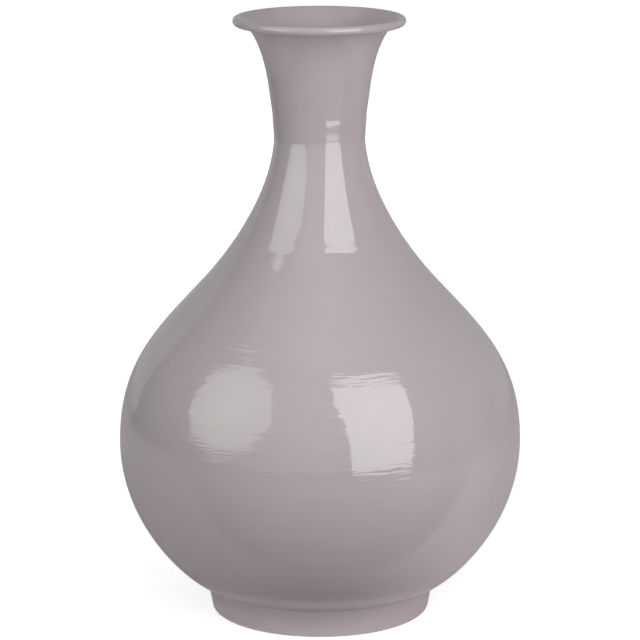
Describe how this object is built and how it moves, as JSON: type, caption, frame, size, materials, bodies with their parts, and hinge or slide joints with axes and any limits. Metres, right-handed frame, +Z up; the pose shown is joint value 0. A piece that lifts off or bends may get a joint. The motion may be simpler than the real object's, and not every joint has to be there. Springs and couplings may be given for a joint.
{
  "type": "vase",
  "caption": "Free-standing spun metal vase with a trumpet neck, rolled rim, pear-shaped body and low foot ring; holds cut or dried stems, or stands as an ornament.",
  "frame": {"origin": "centre of the flat ring that the foot stands on", "axes": "+Z up through the middle of the neck; the vase is round, so +X and +Y are alike"},
  "size_m": [0.2676, 0.2676, 0.4],
  "materials": {
    "enamel": "mauve-grey enamel, glossy, with faint spinning marks",
    "enamel_over_filler": "the same glossy enamel over dressed braze filler",
    "bare_steel": "drawn wire, bare, hidden in the rim"
  },
  "bodies": {
    "root": {"foot_ring": "enamel", "foot_braze": "enamel_over_filler", "lower_bowl": "enamel", "belly_braze": "enamel_over_filler", "shoulder": "enamel", "neck_braze": "enamel_over_filler", "neck": "enamel", "rim_wire": "bare_steel"}
  },
  "joints": []
}
